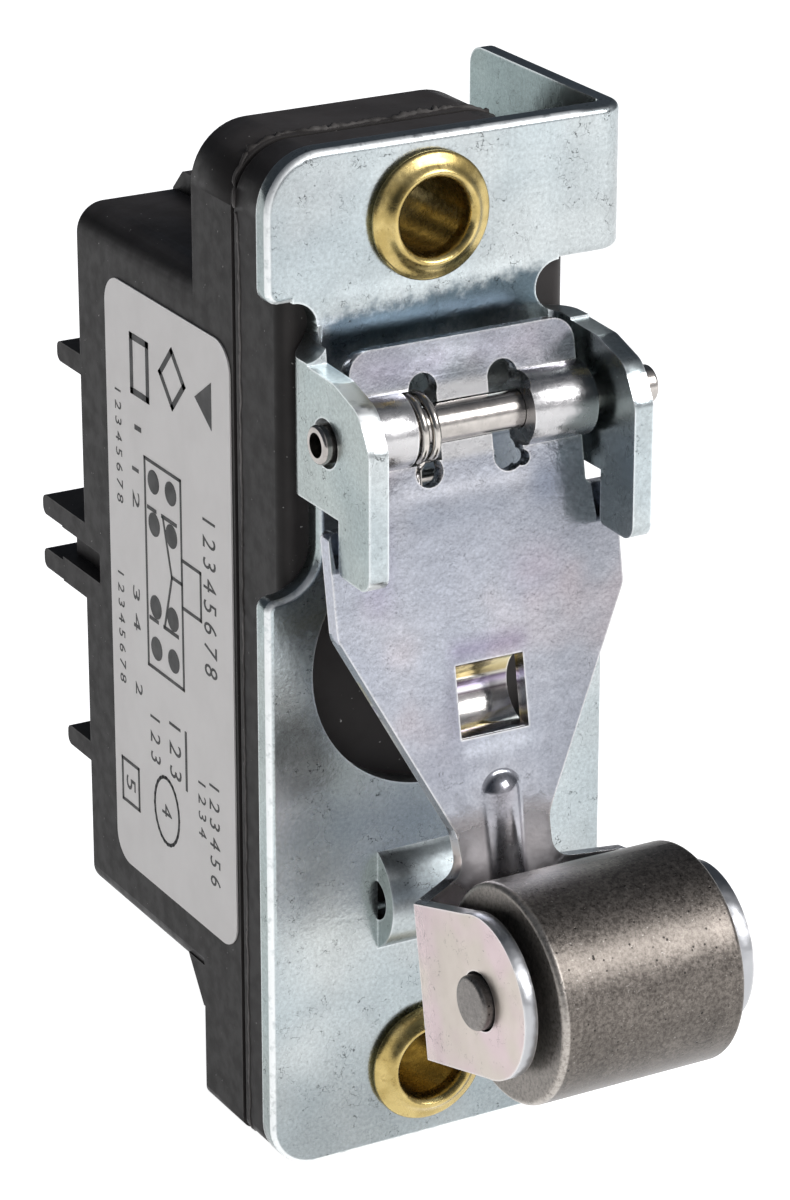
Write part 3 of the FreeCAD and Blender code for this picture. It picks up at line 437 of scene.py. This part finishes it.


def sintered(name, dark, light, end_shade):
    """Porous metal, with a painted highlight line at the roller's left corner."""
    r = Recipe(name)
    r.set("Metallic", 0.85)
    grain = r.noise(0.30, 5.0, 0.85)
    tone = r.mix(r.spread(grain, 0.34, 0.66), dark, light)
    tone = r.mix(0.5, tone, r.ramp(r.noise(3.0, 4.0, 0.6), [(0.35, 0.72), (0.65, 1.2)]), "MULTIPLY")
    pits = r.ramp(r.plus(r.pores(0.60), r.times(r.noise(1.4), 0.40)), [(0.26, 0.12), (0.33, 1.0)])
    tone = r.mix(0.9, tone, pits, "MULTIPLY")
    turned = r.noise(0.6, 2.0, vector=r.stretched(LATHE_GRAIN))
    tone = scaled(r, tone, r.ramp(turned, [(0.35, 0.95), (0.65, 1.05)]))
    # painted glints: scattered pale specks
    glints = r.spread(r.noise(0.17, 1.0), 0.71, 0.75)
    tone = r.mix(r.times(glints, 0.4), tone, PAINTED_GLINT)
    # painted shade on the faces that turn down and to the front
    tone = r.mix(r.turned_to(SHADED_UNDERSIDE, 0.2, 0.9), tone, scaled(r, tone, 0.72))
    # worn edges, with a painted highlight along them
    worn = r.times(r.edges(0.35), r.spread(r.noise(1.5, 3.0), 0.35, 0.6, 0.4, 1.0))
    tone = r.mix(worn, tone, WORN_SINTER_AND_HIGHLIGHT)
    # the left end face is scaled by end_shade: painted shade where it is below one
    end = r.turned_to(LEFT, 0.7, 0.95)
    tone = r.mix(end, tone, scaled(r, tone, end_shade))
    corner = r.magnitude(r.less(r.along(RIGHT), ROLLER_LEFT + CORNER_INSET))
    corner = r.times(r.spread(corner, 0.30, 0.12), r.spread(grain, 0.35, 0.6, 0.4, 0.9))
    tone = r.mix(corner, tone, CORNER_HIGHLIGHT)
    r.link(tone, "Base Color")
    r.link(r.spread(grain, 0.3, 0.7, 0.27, 0.42), "Roughness")
    r.bump((pits, 0.018), (grain, 0.015))
    return r.material


DUST, WORN_MOULDING_AND_HIGHLIGHT = (0.30, 0.29, 0.28), (0.10, 0.095, 0.092)
TOP_PAINTED_LIGHT, FRONT_PAINTED_LIGHT = 3.2, 1.6     # painted light: upper and front faces of the housing are paler


def moulding(name, tone_a, tone_b, gloss, specks=0.0, ior=1.4):
    """Moulded or printed surface; with specks it is the dusty, edge-worn moulding of the housing, with
    painted light on its upper and front faces and a painted highlight on its edges.
    """
    r = Recipe(name)
    tone = r.mix(r.spread(r.noise(5.0, 4.0), 0.35, 0.65), tone_a, tone_b)
    if specks:
        dust = r.spread(r.noise(0.35, 2.0, 0.6), 0.735, 0.78)
        tone = r.mix(r.times(dust, specks), tone, DUST)
        tone = r.mix(r.turned_to(UP), tone, scaled(r, tone, TOP_PAINTED_LIGHT))
        tone = r.mix(r.turned_to(FRONT), tone, scaled(r, tone, FRONT_PAINTED_LIGHT))
        # worn edges, with a painted highlight along them
        tone = r.mix(r.times(r.edges(0.25), 0.5), tone, WORN_MOULDING_AND_HIGHLIGHT)
    r.link(tone, "Base Color")
    r.set("IOR", ior)
    r.link(r.spread(r.noise(1.2, 4.0), 0.3, 0.7, gloss - 0.06, gloss + 0.08), "Roughness")
    r.bump((r.noise(6.0, 2.0), 0.022), (r.noise(0.45, 4.0), 0.008))
    return r.material


def steel(name, tone, gloss):
    r = Recipe(name)
    r.set("Metallic", 1.0)
    dull = tuple(0.80 * part for part in tone)
    shade = r.mix(r.spread(r.noise(1.5, 4.0), 0.35, 0.65), tone, dull)
    r.link(scaled(r, shade, hairlines(r, 0.6, 0.4)), "Base Color")
    r.link(r.spread(r.noise(0.6, 3.0), 0.3, 0.7, gloss - 0.04, gloss + 0.06), "Roughness")
    r.bump((r.noise(0.3, 2.0, vector=r.stretched(DRAWN_GRAIN)), 0.003))
    return r.material


MATERIALS = {
    "phenolic": moulding("phenolic", (0.020, 0.018, 0.0175), (0.026, 0.0235, 0.023), 0.42, 0.8, 1.2),
    "gasket": moulding("gasket", (0.006, 0.006, 0.006), (0.010, 0.009, 0.009), 0.7),
    "zinc_plate": zinc_plate(),
    "zinc_lever": zinc_lever(),
    "brass": brass("brass", 0.20),
    "label": moulding("label", (0.66, 0.635, 0.62), (0.69, 0.665, 0.65), 0.45, ior=1.3),
    "pin_steel": steel("pin_steel", (0.47, 0.44, 0.415), 0.20),
    "spring_steel": steel("spring_steel", (0.58, 0.545, 0.505), 0.16),
    "sintered": sintered("sintered", (0.078, 0.067, 0.059), (0.225, 0.200, 0.178), 0.75),
    "dark_steel": sintered("dark_steel", (0.15, 0.137, 0.128), (0.27, 0.25, 0.235), 1.0),
    "plunger_moulding": moulding("plunger_moulding", (0.020, 0.020, 0.020), (0.030, 0.030, 0.030), 0.35),
    "rubber": moulding("rubber", (0.020, 0.020, 0.020), (0.035, 0.033, 0.030), 0.6),
    "silver": steel("silver", (0.80, 0.79, 0.76), 0.25),
    "contact_brass": brass("contact_brass", 0.28),
    "screw_steel": steel("screw_steel", (0.52, 0.54, 0.53), 0.28),
}
INK = moulding("ink", (0.020, 0.020, 0.020), (0.035, 0.033, 0.033), 0.5)
FLASH = moulding("flash", (0.045, 0.040, 0.038), (0.13, 0.12, 0.115), 0.6)


# ---- softened edges on the CAD nodes --------------------------------------------------------------------
SOFT_EDGES = (("mounting_plate", 0.28), ("lever", 0.22), ("base_housing", 0.3), ("front_cover", 0.15),
              ("terminal_screws", 0.15), ("terminal_clamps", 0.1))
WELD_MM = 0.002
SHARPEST_LEFT = math.radians(35.0)  # edges flatter than this stay as they are


def soften(node, width_mm):
    thing = frame["nodes"][node]
    weld = thing.modifiers.new("weld", "WELD")
    weld.merge_threshold = WELD_MM * MM
    bevel = thing.modifiers.new("bevel", "BEVEL")
    bevel.width = width_mm * MM
    bevel.segments = 2
    bevel.limit_method = "ANGLE"
    bevel.angle_limit = SHARPEST_LEFT
    bevel.harden_normals = True


# ---- pieces made here -------------------------------------------------------------------------------
def piece(name, mesh_maker, material, body, replaced=None, smooth=True):
    mesh = bpy.data.meshes.new(name)
    shape = bmesh.new()
    mesh_maker(shape)
    bmesh.ops.recalc_face_normals(shape, faces=shape.faces)
    for face in shape.faces:
        face.smooth = smooth
    shape.to_mesh(mesh)
    shape.free()
    thing = bpy.data.objects.new(name, mesh)
    bpy.context.scene.collection.objects.link(thing)
    mesh.materials.append(material)
    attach(thing, body)
    if replaced:
        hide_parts(replaced)
    return thing


def add_tube(shape, path, radii, sides=10):
    """Closed-ended tube along a path of points in millimetres."""
    points = [Vector(point) * MM for point in path]
    side = Vector(RIGHT)
    rings = []
    for i, point in enumerate(points):
        ahead = (points[min(i + 1, len(points) - 1)] - points[max(i - 1, 0)]).normalized()
        side = (side - ahead * side.dot(ahead)).normalized()
        if side.length < 0.5:
            side = ahead.orthogonal().normalized()
        up = ahead.cross(side)
        ring = []
        for k in range(sides):
            angle = 2.0 * math.pi * k / sides
            offset = side * math.cos(angle) + up * math.sin(angle)
            ring.append(shape.verts.new(point + offset * radii[i] * MM))
        rings.append(ring)
    for before, after in zip(rings, rings[1:]):
        for k in range(sides):
            after_k = (k + 1) % sides
            shape.faces.new((before[k], before[after_k], after[after_k], after[k]))
    shape.faces.new(rings[0])
    shape.faces.new(rings[-1])


def rounded_path(corners, radius, steps=5):
    """Polyline through corner points, with each inner corner rounded off."""
    path = [Vector(corners[0])]
    for before, corner, after in zip(corners, corners[1:], corners[2:]):
        before, corner, after = Vector(before), Vector(corner), Vector(after)
        start = corner + (before - corner).normalized() * radius
        end = corner + (after - corner).normalized() * radius
        for i in range(steps + 1):
            t = i / steps
            path.append(start * (1 - t) ** 2 + corner * 2 * t * (1 - t) + end * t ** 2)
    path.append(Vector(corners[-1]))
    return path


# ---- lever return spring ------------------------------------------------------------------------------
WIRE_R = 0.33
WIRE_GAP = 0.05                     # between the wire and the sheet that it bears on
COIL_R = 2.25
COIL_PITCH = 0.9
COIL_TURNS = 1.75
COIL_STEPS = 84
COIL_FIRST_X = -4.4
FOOT_DOWN, FOOT_TURN = 5.5, 3.0     # how far below the pin the foot lies and turns up
LEG_FROM, LEG_TO = -3.4, -9.0       # heights of the leg behind the lever, from the pin
LEVER_T = 1.2
WIRE_SIDES = 14


def coil_point(turn):
    angle = 2.0 * math.pi * turn
    pin = PIN / MM
    return Vector((COIL_FIRST_X + COIL_PITCH * turn, pin.y + COIL_R * math.cos(angle),
                   pin.z + COIL_R * math.sin(angle)))


def spring_coil(shape):
    pin = PIN / MM
    foot_y = -WIRE_R - WIRE_GAP
    foot = rounded_path([(BODY_X, foot_y, pin.z - FOOT_DOWN), (COIL_FIRST_X, foot_y, pin.z - FOOT_DOWN),
                         (COIL_FIRST_X, foot_y, pin.z - FOOT_TURN), tuple(coil_point(0.0))], 0.6)
    winding = [coil_point(COIL_TURNS * i / COIL_STEPS) for i in range(1, COIL_STEPS + 1)]
    path = foot + winding
    add_tube(shape, path, [WIRE_R] * len(path), WIRE_SIDES)


def spring_leg(shape):
    pin = PIN / MM
    behind = LEVER_BACK * (LEVER_T + WIRE_R + WIRE_GAP)
    start = coil_point(COIL_TURNS)
    top = pin + LEVER_UP * LEG_FROM + behind
    end = pin + LEVER_UP * LEG_TO + behind
    path = rounded_path([tuple(start), (start.x, top.y, top.z), (start.x, end.y, end.z)], 0.5)
    add_tube(shape, path, [WIRE_R] * len(path), WIRE_SIDES)


# ---- plunger spring -------------------------------------------------------------------------------------
PLUNGER_WIRE_R = 0.26
PLUNGER_TURNS = 10.6
PLUNGER_STEPS = 330
CLOSER_ENDS = 0.6                   # how much the pitch drops at the ends: 0 is even
PLUNGER_SPRING_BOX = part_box("plunger_return_spring")


def plunger_spring(shape):
    """Compression spring with closer turns at both ends, wound about the plunger's axis."""
    low, high = (corner / MM for corner in PLUNGER_SPRING_BOX)
    middle = (low + high) / 2.0
    radius = (high.z - low.z) / 2.0 - PLUNGER_WIRE_R
    length = high.y - low.y - 2.0 * PLUNGER_WIRE_R
    path = []
    for i in range(PLUNGER_STEPS + 1):
        t = i / PLUNGER_STEPS
        angle = 2.0 * math.pi * PLUNGER_TURNS * t
        along = t - CLOSER_ENDS * math.sin(2.0 * math.pi * t) / (2.0 * math.pi)
        path.append((middle.x + radius * math.cos(angle), low.y + PLUNGER_WIRE_R + length * along,
                     middle.z + radius * math.sin(angle)))
    add_tube(shape, path, [PLUNGER_WIRE_R] * len(path), 10)


def squeeze_with_plunger(thing):
    """Gives the wound spring a mesh of its own; it is not shortened here."""
    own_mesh(thing)


# ---- moulding flash along the seam ----------------------------------------------------------------------
SEAM_LEFT, SEAM_RIGHT = -10.6, 12.0
SEAM_TOP, SEAM_BOTTOM = 36.35, -39.1
SEAM_TOP_R, SEAM_BOTTOM_R = 4.3, 0.9
SEAM_SIDE_Y, SEAM_TOP_Y = 7.6, 9.35
SEAM_STEP = 0.25
CORNER_STEPS = 8
RISE_FROM, RISE_OVER = 31.0, 4.5    # the flash grows from its side size to its top size here
WANDER, RIPPLE, BURR = (0.9, 0.0), (3.1, 7.0), (7.3, 3.0)      # frequency and seed of each noise


def seam_outline():
    """Closely spaced points (x, z) round the housing, along the seam."""
    corners = [(SEAM_LEFT, SEAM_TOP, SEAM_TOP_R, 180), (SEAM_RIGHT, SEAM_TOP, SEAM_TOP_R, 90),
               (SEAM_RIGHT, SEAM_BOTTOM, SEAM_BOTTOM_R, 0), (SEAM_LEFT, SEAM_BOTTOM, SEAM_BOTTOM_R, 270)]
    raw = []
    for x, z, r, first in corners:
        cx = x + r if x < BODY_X else x - r
        cz = z - r if z > 0 else z + r
        for i in range(CORNER_STEPS + 1):
            angle = math.radians(first - 90.0 * i / CORNER_STEPS)
            raw.append(Vector((cx + r * math.cos(angle), cz + r * math.sin(angle))))
    raw.append(raw[0])
    points = []
    for a, b in zip(raw, raw[1:]):
        count = max(1, round((b - a).length / SEAM_STEP))
        points += [a.lerp(b, i / count) for i in range(count)]
    return points


def seam_noise(point, frequency, seed):
    return noise.noise(Vector((point.x * frequency, point.y * frequency, seed)))


def seam_flash(shape):
    """Ragged flash left by the mould, thicker over the top of the housing than down its sides."""
    path, radii = [], []
    for point in seam_outline():
        on_top = min(1.0, max(0.0, (point.y - RISE_FROM) / RISE_OVER))
        wander, ripple, burr = (seam_noise(point, *kind) for kind in (WANDER, RIPPLE, BURR))
        middle = SEAM_SIDE_Y + (SEAM_TOP_Y - SEAM_SIDE_Y) * on_top
        y = middle + wander * (0.15 + 0.40 * on_top) + burr * 0.12 * on_top
        path.append((point.x, y, point.y))
        thickness = 0.09 + 0.10 * on_top + ripple * (0.08 + 0.24 * on_top) + burr * 0.10 * on_top
        radii.append(max(0.03, thickness))
    add_tube(shape, path, radii, 7)


# ---- label print: a generic wiring diagram -----------------------------------------------------------------
INK_T = 0.025
ROUND_SIDES = 24
LINE = 0.26
FRAME_Y, FRAME_Z = (22.85, 17.05), (9.3, -7.0)
CONTACT_ROWS = (7.8, 4.5, -2.0, -5.3)
CONTACT_COLUMNS = (21.45, 18.65)
CONTACT_R = 0.92
LEAD_ROWS = (5.6, -3.1)             # the short leads between the upper and the lower contacts
ROCKER_LINE = ((20.0, 5.5), (18.7, 1.25), (20.0, -3.0))
ROCKER_TIP = ((18.7, 1.3), (FRAME_Y[1], 1.3))
OUTER_LOOP = ((16.95, 3.2), (14.05, 3.2), (14.05, -0.5), (16.95, -0.5))
INK_SINK = 0.01                     # how far the print reaches into the label
THIN, BOLD, BOLDER = 0.3, 0.45, 0.5


def label_face():
    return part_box("side_label")[0].x / MM


def add_prism(shape, outline):
    """Thin raised print from a list of (y, z) corners."""
    face_x = label_face()
    layers = []
    for x in (face_x - INK_T, face_x + INK_SINK):
        layers.append([shape.verts.new(Vector((x, y, z)) * MM) for y, z in outline])
    count = len(outline)
    shape.faces.new(layers[0])
    shape.faces.new(layers[1][::-1])
    for i in range(count):
        j = (i + 1) % count
        shape.faces.new((layers[0][i], layers[1][i], layers[1][j], layers[0][j]))


def add_line(shape, a, b, width=LINE):
    a, b = Vector(a), Vector(b)
    along = (b - a).normalized() * width / 2.0
    across = Vector((-along.y, along.x))
    corners = [a - along + across, b + along + across, b + along - across, a - along - across]
    add_prism(shape, [tuple(corner) for corner in corners])


def add_lines(shape, points, width=LINE):
    for a, b in zip(points, points[1:]):
        add_line(shape, a, b, width)


def round_the_clock(sides):
    return [2.0 * math.pi * k / sides for k in range(sides)]


def add_dot(shape, y, z, r):
    add_prism(shape, [(y + r * math.cos(a), z + r * math.sin(a)) for a in round_the_clock(ROUND_SIDES)])


def add_box(shape, y, z, half_y, half_z, width=LINE):
    add_lines(shape, [(y - half_y, z - half_z), (y + half_y, z - half_z), (y + half_y, z + half_z),
                      (y - half_y, z + half_z), (y - half_y, z - half_z)], width)


def add_ring(shape, y, z, r):
    turn = round_the_clock(ROUND_SIDES)
    add_lines(shape, [(y + 0.75 * r * math.cos(a), z + r * math.sin(a)) for a in turn + turn[:1]])


def wiring_diagram(shape):
    add_lines(shape, [(FRAME_Y[0], FRAME_Z[0]), (FRAME_Y[1], FRAME_Z[0]), (FRAME_Y[1], FRAME_Z[1]),
                      (FRAME_Y[0], FRAME_Z[1]), (FRAME_Y[0], FRAME_Z[0])])
    for z in CONTACT_ROWS:
        for y in CONTACT_COLUMNS:
            add_dot(shape, y, z, CONTACT_R)
    for z in LEAD_ROWS:
        add_line(shape, (22.4, z), (21.2, z), THIN)
        add_line(shape, (20.1, z), (17.9, z), THIN)
    add_lines(shape, ROCKER_LINE)
    add_line(shape, *ROCKER_TIP)
    add_lines(shape, OUTER_LOOP)


def print_marks(shape):
    """Plain shapes that fill the rest of the label: they stand for nothing."""
    add_box(shape, 23.4, 16.0, 1.3, 2.1, BOLDER)
    add_lines(shape, [(18.1, 18.8), (20.0, 16.7), (18.1, 14.6), (16.2, 16.7), (18.1, 18.8)], BOLD)
    add_prism(shape, [(11.9, 18.3), (11.9, 14.7), (14.5, 16.5)])
    add_ring(shape, 20.3, -18.0, 2.7)
    add_box(shape, 26.4, -18.1, 1.4, 1.7)
    add_line(shape, (16.9, -10.4), (16.9, -14.9), THIN)


NUMBERS = (                     # what is printed, its middle (y), first and last height (z), size
    ("1", 23.85, 11.4, 11.0, 1.1),
    ("2", 24.6, -9.2, -10.2, 1.1),
    ("1 2", 24.4, 8.0, 4.8, 1.1),
    ("3 4", 24.7, -1.5, -5.0, 1.1),
    ("1 2 3 4 5 6 7 8", 27.1, 13.3, 4.4, 1.0),
    ("1 2 3 4 5 6 7 8", 27.3, -1.2, -10.1, 1.0),
    ("1 2 3 4 5 6 7 8", 12.6, 7.7, -4.4, 2.0),
    ("1 2 3", 18.7, -10.4, -14.8, 1.9),
    ("1 2 3", 22.0, -11.0, -14.7, 1.6),
    ("4", 20.3, -17.5, -18.5, 1.6),
    ("5", 26.4, -17.6, -18.7, 1.5),
    ("1 2 3 4", 14.4, -13.4, -17.8, 1.2),
    ("1 2 3 4 5 6", 12.4, -12.9, -21.0, 1.6))


def number(name, text, y, z_first, z_last, height):
    """Plain counting numbers, read downwards like the rest of the print."""
    curve = bpy.data.curves.new(name, "FONT")
    curve.body = text
    curve.size = 1.0
    curve.resolution_u = 3
    curve.extrude = 0.5
    source = bpy.data.objects.new(name + "_source", curve)
    bpy.context.scene.collection.objects.link(source)
    bpy.context.view_layer.update()
    mesh = bpy.data.meshes.new_from_object(source)
    bpy.data.objects.remove(source)
    spread_x = [vertex.co.x for vertex in mesh.vertices]
    spread_y = [vertex.co.y for vertex in mesh.vertices]
    length = (z_first - z_last) / (max(spread_x) - min(spread_x))
    tall = height / (max(spread_y) - min(spread_y))
    for vertex in mesh.vertices:
        along = (vertex.co.x - min(spread_x)) * length
        up = (vertex.co.y - min(spread_y)) * tall - height / 2.0
        depth = label_face() + INK_SINK - (vertex.co.z + 0.5) * INK_T
        vertex.co = Vector((depth, y - up, z_first - along)) * MM
    mesh.materials.clear()
    mesh.materials.append(INK)
    thing = bpy.data.objects.new(name, mesh)
    bpy.context.scene.collection.objects.link(thing)
    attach(thing, "switch_body")


# ---- floor, light, camera -------------------------------------------------------------------------------
FLOOR_REACH = 4.0
FLOOR_GLOW = 1.1
PAPER_DARK, PAPER_LIGHT = (0.86, 0.86, 0.86), (0.88, 0.88, 0.88)
WORLD_DARK, WORLD_BRIGHT = (0.06, 0.07, 0.085), (0.62, 0.62, 0.64)
WORLD_BRIGHT_SIDE = (0.5, -0.8, 0.3)
KEY_DIRECTION, KEY_DISTANCE, KEY_SIZE, KEY_POWER = (0.45, -0.71, 0.54), 0.55, (0.30, 0.24), 1.8


def floor():
    low = cad_box[0][2]
    corners = [(x * FLOOR_REACH, y * FLOOR_REACH, low) for x, y in ((-1, -1), (1, -1), (1, 1), (-1, 1))]
    mesh = bpy.data.meshes.new("floor")
    mesh.from_pydata(corners, [], [(0, 1, 2, 3)])
    thing = bpy.data.objects.new("floor", mesh)
    bpy.context.scene.collection.objects.link(thing)
    r = Recipe("floor_paper")
    paper = r.mix(r.spread(r.noise(60.0, 2.0), 0.3, 0.7), PAPER_DARK, PAPER_LIGHT)
    r.link(paper, "Base Color")
    r.link(paper, "Emission Color")
    r.set("Emission Strength", FLOOR_GLOW)
    r.set("Roughness", 0.9)
    mesh.materials.append(r.material)


def surroundings():
    """Dark room, paler towards the right of the front."""
    world = bpy.data.worlds.new("studio")
    world.use_nodes = True
    nodes, links = world.node_tree.nodes, world.node_tree.links
    where = nodes.new("ShaderNodeTexCoord")
    dot = nodes.new("ShaderNodeVectorMath")
    dot.operation = "DOT_PRODUCT"
    dot.inputs[1].default_value = Vector(WORLD_BRIGHT_SIDE).normalized()
    links.new(where.outputs["Generated"], dot.inputs[0])
    ramp = nodes.new("ShaderNodeValToRGB")
    for element, position, colour in zip(ramp.color_ramp.elements, (0.35, 0.95), (WORLD_DARK, WORLD_BRIGHT)):
        element.position = position
        element.color = rgba(colour)
    links.new(dot.outputs["Value"], ramp.inputs["Fac"])
    links.new(ramp.outputs["Color"], nodes["Background"].inputs["Color"])
    bpy.context.scene.world = world


def soft_box(name, direction, distance, size, power):
    light = bpy.data.lights.new(name, "AREA")
    light.shape = "RECTANGLE"
    light.size, light.size_y = size
    light.energy = power
    lamp = bpy.data.objects.new(name, light)
    towards = Vector(direction).normalized()
    lamp.location = towards * distance
    lamp.rotation_euler = towards.to_track_quat("Z", "Y").to_euler()
    bpy.context.scene.collection.objects.link(lamp)


def camera():
    azimuth = math.radians(CAMERA_AZIMUTH)
    elevation = math.radians(CAMERA_ELEVATION)
    back = Vector((math.sin(azimuth) * math.cos(elevation), -math.cos(azimuth) * math.cos(elevation),
                   math.sin(elevation)))
    data = bpy.data.cameras.new("camera")
    data.sensor_fit = "VERTICAL"
    data.sensor_height = 36.0
    data.lens = CAMERA_LENS
    data.clip_start = 0.01
    thing = bpy.data.objects.new("camera", data)
    thing.location = (Vector(CAMERA_TARGET) + back * CAMERA_DISTANCE) * MM
    thing.rotation_euler = back.to_track_quat("Z", "Y").to_euler()
    bpy.context.scene.collection.objects.link(thing)
    bpy.context.scene.camera = thing


# ---- put it together --------------------------------------------------------------------------------------
slots = {part["node"]: part["material_slot"] for part in RECORD["subparts"]}
for node, thing in frame["nodes"].items():
    thing.data.materials.clear()
    thing.data.materials.append(MATERIALS[slots[node]])

for node, width in SOFT_EDGES:
    soften(node, width)

piece("return_spring_coil", spring_coil, MATERIALS["spring_steel"], "switch_body", "lever_return_spring")
piece("return_spring_leg", spring_leg, MATERIALS["spring_steel"], "lever_arm", "lever_return_spring")
squeeze_with_plunger(piece("plunger_spring_wound", plunger_spring, MATERIALS["spring_steel"], "switch_body",
                           "plunger_return_spring"))
piece("seam_flash", seam_flash, FLASH, "switch_body")
piece("label_diagram", wiring_diagram, INK, "switch_body", smooth=False)
piece("label_marks", print_marks, INK, "switch_body", smooth=False)
for count, entry in enumerate(NUMBERS):
    number("label_number_%02d" % count, *entry)

floor()
surroundings()
soft_box("key", KEY_DIRECTION, KEY_DISTANCE, KEY_SIZE, KEY_POWER)
camera()
bpy.context.scene.view_settings.view_transform = "Standard"
